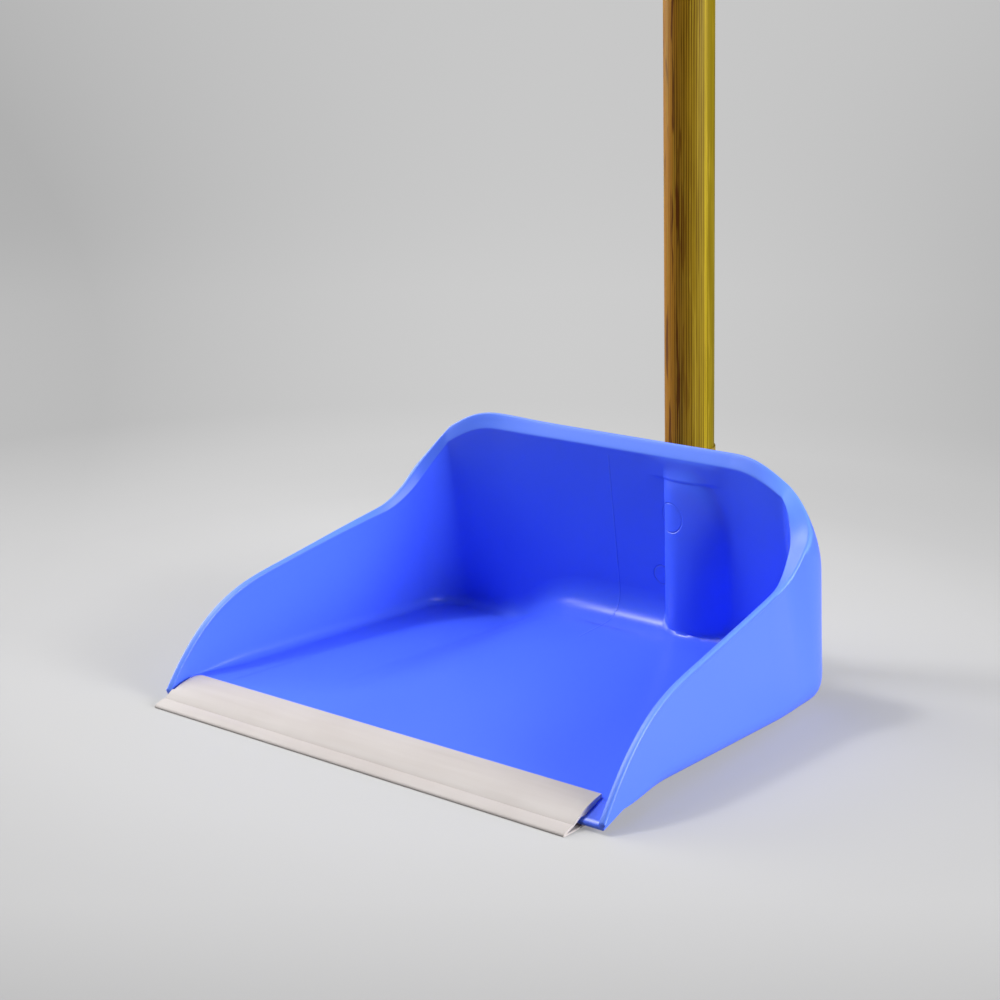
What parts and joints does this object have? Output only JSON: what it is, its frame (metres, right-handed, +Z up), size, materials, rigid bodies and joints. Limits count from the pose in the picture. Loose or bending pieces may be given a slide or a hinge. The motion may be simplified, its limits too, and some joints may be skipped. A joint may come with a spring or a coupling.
{
  "type": "long-handled dustpan",
  "caption": "Upright dustpan: moulded scoop with S-shaped walls, soft lip strip on the front edge and a long film-covered stick pushed into a socket at the back.",
  "frame": {"origin": "middle of the bounding box in plan, on the floor the dustpan stands on", "axes": "+X to the right seen from the mouth, +Y from the mouth to the back wall, +Z up along the stick"},
  "size_m": [0.2554, 0.2316, 0.8461],
  "materials": {
    "blue_plastic": "glossy",
    "soft_strip": "satin",
    "stick_wood": "plain",
    "grain_film": "glossy",
    "cap_plastic": "satin"
  },
  "bodies": {
    "scoop": {"pan": "blue_plastic", "lip_strip": "soft_strip"},
    "handle": {"stick_core": "stick_wood", "film_sleeve": "grain_film", "ferrule": "cap_plastic", "hang_cap": "cap_plastic"}
  },
  "joints": [
    {"name": "handle_pull", "type": "slide", "parent": "scoop", "child": "handle", "axis": [0, -0.0419, 0.9991], "range_m": [0, 0.083]}
  ]
}
